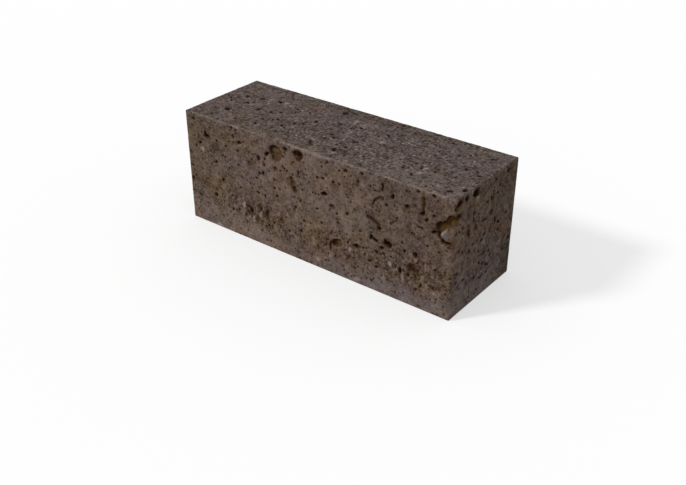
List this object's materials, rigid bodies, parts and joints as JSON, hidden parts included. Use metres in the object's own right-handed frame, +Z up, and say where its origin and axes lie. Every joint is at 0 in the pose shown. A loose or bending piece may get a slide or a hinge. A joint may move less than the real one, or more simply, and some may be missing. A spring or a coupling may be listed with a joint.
{
  "type": "concrete paver",
  "caption": "Long, narrow cast concrete paver with pitted faces, lightly worn arrises and one broken corner, laid on edge or flat to surface paths, drives and kerbs",
  "frame": {"origin": "centre of the underside (the bed the block stands on)", "axes": "+X runs along the block's length, -Y is the front face that the picture shows, +Z is up through the wearing face"},
  "size_m": [0.21, 0.07, 0.08],
  "materials": {
    "concrete": "rough cast concrete, warm brown-grey, with open casting voids and pale sand grains"
  },
  "bodies": {
    "root": {"paver_block": "concrete"}
  },
  "joints": []
}
